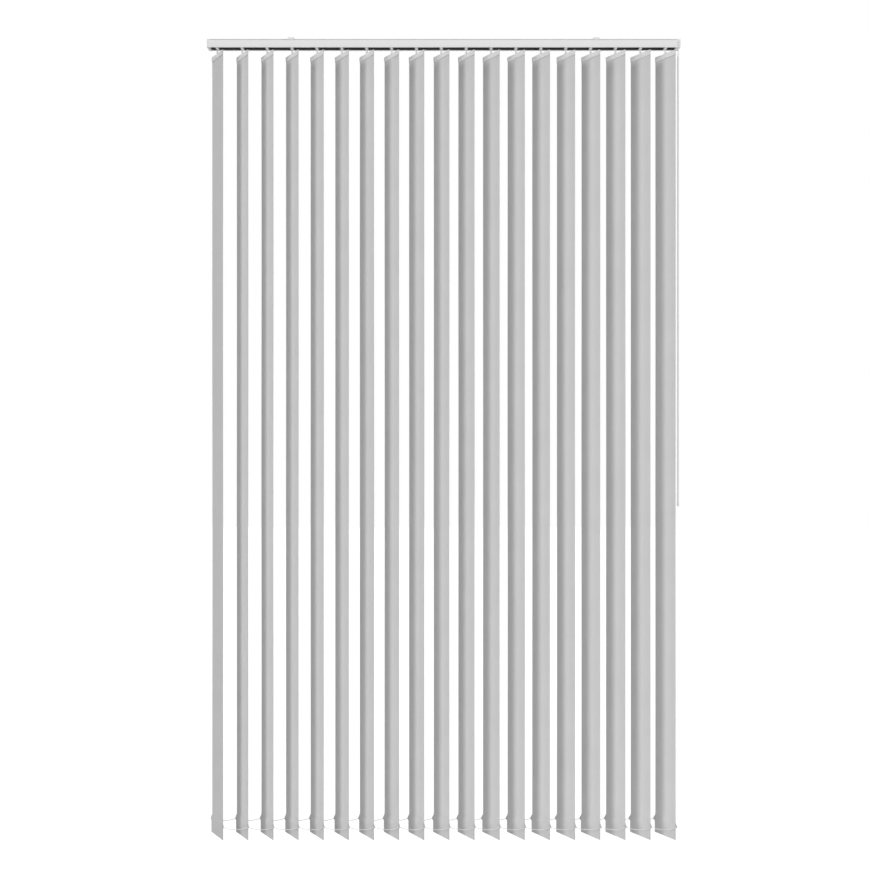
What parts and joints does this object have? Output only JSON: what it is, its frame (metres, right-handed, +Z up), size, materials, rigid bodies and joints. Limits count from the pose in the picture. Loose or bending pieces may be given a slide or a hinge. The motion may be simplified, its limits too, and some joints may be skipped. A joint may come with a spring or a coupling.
{
  "type": "vertical blind",
  "caption": "Ceiling-mounted vertical blind: light grey fabric slats on geared carriers in a slotted white head rail, joined by bottom chains and turned by a wand.",
  "frame": {"origin": "on the ceiling plane, midway between the two bracket screw holes", "axes": "+X along the rail towards the wand, -Y into the room, +Z up"},
  "size_m": [1.506, 0.0865, 2.5455],
  "materials": {
    "rail_paint": "satin white powder coat",
    "white_plastic": "fine moulded satin",
    "dark_plastic": "moulded, slightly waxy",
    "bracket_steel": "white enamel on spring steel",
    "rod_aluminium": "drawn, satin",
    "slat_fabric": "stiffened plain weave, matt",
    "chain_plastic": "moulded beads",
    "wand_plastic": "smooth extruded"
  },
  "bodies": {
    "rail": {"head_rail": "rail_paint", "end_cap": "white_plastic", "control_housing": "white_plastic", "control_cover": "white_plastic", "bracket_left": "bracket_steel", "bracket_right": "bracket_steel", "carrier_01": "dark_plastic"},
    "carrier_02": {"carrier_02": "dark_plastic"},
    "carrier_03": {"carrier_03": "dark_plastic"},
    "carrier_04": {"carrier_04": "dark_plastic"},
    "carrier_05": {"carrier_05": "dark_plastic"},
    "carrier_06": {"carrier_06": "dark_plastic"},
    "carrier_07": {"carrier_07": "dark_plastic"},
    "carrier_08": {"carrier_08": "dark_plastic"},
    "carrier_09": {"carrier_09": "dark_plastic"},
    "carrier_10": {"carrier_10": "dark_plastic"},
    "carrier_11": {"carrier_11": "dark_plastic"},
    "carrier_12": {"carrier_12": "dark_plastic"},
    "carrier_13": {"carrier_13": "dark_plastic"},
    "carrier_14": {"carrier_14": "dark_plastic"},
    "carrier_15": {"carrier_15": "dark_plastic"},
    "carrier_16": {"carrier_16": "dark_plastic"},
    "carrier_17": {"carrier_17": "dark_plastic"},
    "carrier_18": {"carrier_18": "dark_plastic"},
    "carrier_19": {"carrier_19": "dark_plastic"},
    "slat_01": {"slat_01": "slat_fabric"},
    "slat_02": {"slat_02": "slat_fabric"},
    "slat_03": {"slat_03": "slat_fabric"},
    "slat_04": {"slat_04": "slat_fabric"},
    "slat_05": {"slat_05": "slat_fabric"},
    "slat_06": {"slat_06": "slat_fabric"},
    "slat_07": {"slat_07": "slat_fabric"},
    "slat_08": {"slat_08": "slat_fabric"},
    "slat_09": {"slat_09": "slat_fabric"},
    "slat_10": {"slat_10": "slat_fabric"},
    "slat_11": {"slat_11": "slat_fabric"},
    "slat_12": {"slat_12": "slat_fabric"},
    "slat_13": {"slat_13": "slat_fabric"},
    "slat_14": {"slat_14": "slat_fabric"},
    "slat_15": {"slat_15": "slat_fabric"},
    "slat_16": {"slat_16": "slat_fabric"},
    "slat_17": {"slat_17": "slat_fabric"},
    "slat_18": {"slat_18": "slat_fabric"},
    "slat_19": {"slat_19": "slat_fabric"},
    "tilt_rod": {"tilt_rod": "rod_aluminium", "rod_gear": "dark_plastic"},
    "wand_stem": {"wand_stem": "white_plastic"},
    "wand": {"wand_hook": "wand_plastic", "wand_rod": "wand_plastic", "wand_grip": "wand_plastic"},
    "front_chain": {"front_chain": "chain_plastic"},
    "back_chain": {"back_chain": "chain_plastic"}
  },
  "joints": [
    {"name": "slat_tilt", "type": "hinge", "parent": "rail", "child": "slat_01", "pos_m": [-0.723, 0, 0], "axis": [0, 0, 1], "range_deg": [-108, 40.5]},
    {"name": "traverse", "type": "slide", "parent": "rail", "child": "carrier_19", "axis": [-1, 0, 0], "range_m": [0, 1.161], "deforming": ["front_chain", "back_chain"]},
    {"name": "traverse_02", "type": "slide", "parent": "rail", "child": "carrier_02", "axis": [-1, 0, 0], "range_m": [0, 0.0645]},
    {"name": "slat_tilt_02", "type": "hinge", "parent": "carrier_02", "child": "slat_02", "pos_m": [-0.6435, 0, 0], "axis": [0, 0, 1], "range_deg": [-108, 40.5]},
    {"name": "traverse_03", "type": "slide", "parent": "rail", "child": "carrier_03", "axis": [-1, 0, 0], "range_m": [0, 0.129]},
    {"name": "slat_tilt_03", "type": "hinge", "parent": "carrier_03", "child": "slat_03", "pos_m": [-0.564, 0, 0], "axis": [0, 0, 1], "range_deg": [-108, 40.5]},
    {"name": "traverse_04", "type": "slide", "parent": "rail", "child": "carrier_04", "axis": [-1, 0, 0], "range_m": [0, 0.1935]},
    {"name": "slat_tilt_04", "type": "hinge", "parent": "carrier_04", "child": "slat_04", "pos_m": [-0.4845, 0, 0], "axis": [0, 0, 1], "range_deg": [-108, 40.5]},
    {"name": "traverse_05", "type": "slide", "parent": "rail", "child": "carrier_05", "axis": [-1, 0, 0], "range_m": [0, 0.258]},
    {"name": "slat_tilt_05", "type": "hinge", "parent": "carrier_05", "child": "slat_05", "pos_m": [-0.405, 0, 0], "axis": [0, 0, 1], "range_deg": [-108, 40.5]},
    {"name": "traverse_06", "type": "slide", "parent": "rail", "child": "carrier_06", "axis": [-1, 0, 0], "range_m": [0, 0.3225]},
    {"name": "slat_tilt_06", "type": "hinge", "parent": "carrier_06", "child": "slat_06", "pos_m": [-0.3255, 0, 0], "axis": [0, 0, 1], "range_deg": [-108, 40.5]},
    {"name": "traverse_07", "type": "slide", "parent": "rail", "child": "carrier_07", "axis": [-1, 0, 0], "range_m": [0, 0.387]},
    {"name": "slat_tilt_07", "type": "hinge", "parent": "carrier_07", "child": "slat_07", "pos_m": [-0.246, 0, 0], "axis": [0, 0, 1], "range_deg": [-108, 40.5]},
    {"name": "traverse_08", "type": "slide", "parent": "rail", "child": "carrier_08", "axis": [-1, 0, 0], "range_m": [0, 0.4515]},
    {"name": "slat_tilt_08", "type": "hinge", "parent": "carrier_08", "child": "slat_08", "pos_m": [-0.1665, 0, 0], "axis": [0, 0, 1], "range_deg": [-108, 40.5]},
    {"name": "traverse_09", "type": "slide", "parent": "rail", "child": "carrier_09", "axis": [-1, 0, 0], "range_m": [0, 0.516]},
    {"name": "slat_tilt_09", "type": "hinge", "parent": "carrier_09", "child": "slat_09", "pos_m": [-0.087, 0, 0], "axis": [0, 0, 1], "range_deg": [-108, 40.5]},
    {"name": "traverse_10", "type": "slide", "parent": "rail", "child": "carrier_10", "axis": [-1, 0, 0], "range_m": [0, 0.5805]},
    {"name": "slat_tilt_10", "type": "hinge", "parent": "carrier_10", "child": "slat_10", "pos_m": [-0.0075, 0, 0], "axis": [0, 0, 1], "range_deg": [-108, 40.5]},
    {"name": "traverse_11", "type": "slide", "parent": "rail", "child": "carrier_11", "axis": [-1, 0, 0], "range_m": [0, 0.645]},
    {"name": "slat_tilt_11", "type": "hinge", "parent": "carrier_11", "child": "slat_11", "pos_m": [0.072, 0, 0], "axis": [0, 0, 1], "range_deg": [-108, 40.5]},
    {"name": "traverse_12", "type": "slide", "parent": "rail", "child": "carrier_12", "axis": [-1, 0, 0], "range_m": [0, 0.7095]},
    {"name": "slat_tilt_12", "type": "hinge", "parent": "carrier_12", "child": "slat_12", "pos_m": [0.1515, 0, 0], "axis": [0, 0, 1], "range_deg": [-108, 40.5]},
    {"name": "traverse_13", "type": "slide", "parent": "rail", "child": "carrier_13", "axis": [-1, 0, 0], "range_m": [0, 0.774]},
    {"name": "slat_tilt_13", "type": "hinge", "parent": "carrier_13", "child": "slat_13", "pos_m": [0.231, 0, 0], "axis": [0, 0, 1], "range_deg": [-108, 40.5]},
    {"name": "traverse_14", "type": "slide", "parent": "rail", "child": "carrier_14", "axis": [-1, 0, 0], "range_m": [0, 0.8385]},
    {"name": "slat_tilt_14", "type": "hinge", "parent": "carrier_14", "child": "slat_14", "pos_m": [0.3105, 0, 0], "axis": [0, 0, 1], "range_deg": [-108, 40.5]},
    {"name": "traverse_15", "type": "slide", "parent": "rail", "child": "carrier_15", "axis": [-1, 0, 0], "range_m": [0, 0.903]},
    {"name": "slat_tilt_15", "type": "hinge", "parent": "carrier_15", "child": "slat_15", "pos_m": [0.39, 0, 0], "axis": [0, 0, 1], "range_deg": [-108, 40.5]},
    {"name": "traverse_16", "type": "slide", "parent": "rail", "child": "carrier_16", "axis": [-1, 0, 0], "range_m": [0, 0.9675]},
    {"name": "slat_tilt_16", "type": "hinge", "parent": "carrier_16", "child": "slat_16", "pos_m": [0.4695, 0, 0], "axis": [0, 0, 1], "range_deg": [-108, 40.5]},
    {"name": "traverse_17", "type": "slide", "parent": "rail", "child": "carrier_17", "axis": [-1, 0, 0], "range_m": [0, 1.032]},
    {"name": "slat_tilt_17", "type": "hinge", "parent": "carrier_17", "child": "slat_17", "pos_m": [0.549, 0, 0], "axis": [0, 0, 1], "range_deg": [-108, 40.5]},
    {"name": "traverse_18", "type": "slide", "parent": "rail", "child": "carrier_18", "axis": [-1, 0, 0], "range_m": [0, 1.0965]},
    {"name": "slat_tilt_18", "type": "hinge", "parent": "carrier_18", "child": "slat_18", "pos_m": [0.6285, 0, 0], "axis": [0, 0, 1], "range_deg": [-108, 40.5]},
    {"name": "slat_tilt_19", "type": "hinge", "parent": "carrier_19", "child": "slat_19", "pos_m": [0.708, 0, 0], "axis": [0, 0, 1], "range_deg": [-108, 40.5]},
    {"name": "rod_spin", "type": "hinge", "parent": "rail", "child": "tilt_rod", "pos_m": [0, 0.007, -0.0145], "axis": [1, 0, 0], "range_deg": [-1728, 648]},
    {"name": "wand_twist", "type": "hinge", "parent": "rail", "child": "wand_stem", "pos_m": [0.7488, 0, -0.04], "axis": [0, 0, 1], "range_deg": [-2880, 1080]},
    {"name": "wand_swing", "type": "hinge", "parent": "wand_stem", "child": "wand", "pos_m": [0.7488, 0, -0.04], "axis": [-0.5736, -0.8192, 0], "range_deg": [0, 40]},
    {"name": "front_chain_follow", "type": "hinge", "parent": "slat_01", "child": "front_chain", "pos_m": [-0.69512, -0.04241, -2.5035], "axis": [0, 0, 1], "range_deg": [-40.5, 108]},
    {"name": "back_chain_follow", "type": "hinge", "parent": "slat_01", "child": "back_chain", "pos_m": [-0.75188, 0.04174, -2.5035], "axis": [0, 0, 1], "range_deg": [-40.5, 108]}
  ],
  "couplings": [
    {"joint": "traverse_02", "follows": "traverse", "ratio": 0.055556},
    {"joint": "slat_tilt_02", "follows": "slat_tilt", "ratio": 1},
    {"joint": "traverse_03", "follows": "traverse", "ratio": 0.11111},
    {"joint": "slat_tilt_03", "follows": "slat_tilt", "ratio": 1},
    {"joint": "traverse_04", "follows": "traverse", "ratio": 0.16667},
    {"joint": "slat_tilt_04", "follows": "slat_tilt", "ratio": 1},
    {"joint": "traverse_05", "follows": "traverse", "ratio": 0.22222},
    {"joint": "slat_tilt_05", "follows": "slat_tilt", "ratio": 1},
    {"joint": "traverse_06", "follows": "traverse", "ratio": 0.27778},
    {"joint": "slat_tilt_06", "follows": "slat_tilt", "ratio": 1},
    {"joint": "traverse_07", "follows": "traverse", "ratio": 0.33333},
    {"joint": "slat_tilt_07", "follows": "slat_tilt", "ratio": 1},
    {"joint": "traverse_08", "follows": "traverse", "ratio": 0.38889},
    {"joint": "slat_tilt_08", "follows": "slat_tilt", "ratio": 1},
    {"joint": "traverse_09", "follows": "traverse", "ratio": 0.44444},
    {"joint": "slat_tilt_09", "follows": "slat_tilt", "ratio": 1},
    {"joint": "traverse_10", "follows": "traverse", "ratio": 0.5},
    {"joint": "slat_tilt_10", "follows": "slat_tilt", "ratio": 1},
    {"joint": "traverse_11", "follows": "traverse", "ratio": 0.55556},
    {"joint": "slat_tilt_11", "follows": "slat_tilt", "ratio": 1},
    {"joint": "traverse_12", "follows": "traverse", "ratio": 0.61111},
    {"joint": "slat_tilt_12", "follows": "slat_tilt", "ratio": 1},
    {"joint": "traverse_13", "follows": "traverse", "ratio": 0.66667},
    {"joint": "slat_tilt_13", "follows": "slat_tilt", "ratio": 1},
    {"joint": "traverse_14", "follows": "traverse", "ratio": 0.72222},
    {"joint": "slat_tilt_14", "follows": "slat_tilt", "ratio": 1},
    {"joint": "traverse_15", "follows": "traverse", "ratio": 0.77778},
    {"joint": "slat_tilt_15", "follows": "slat_tilt", "ratio": 1},
    {"joint": "traverse_16", "follows": "traverse", "ratio": 0.83333},
    {"joint": "slat_tilt_16", "follows": "slat_tilt", "ratio": 1},
    {"joint": "traverse_17", "follows": "traverse", "ratio": 0.88889},
    {"joint": "slat_tilt_17", "follows": "slat_tilt", "ratio": 1},
    {"joint": "traverse_18", "follows": "traverse", "ratio": 0.94444},
    {"joint": "slat_tilt_18", "follows": "slat_tilt", "ratio": 1},
    {"joint": "slat_tilt_19", "follows": "slat_tilt", "ratio": 1},
    {"joint": "rod_spin", "follows": "slat_tilt", "ratio": 16},
    {"joint": "wand_twist", "follows": "slat_tilt", "ratio": 26.667},
    {"joint": "front_chain_follow", "follows": "slat_tilt", "ratio": -1},
    {"joint": "back_chain_follow", "follows": "slat_tilt", "ratio": -1}
  ]
}
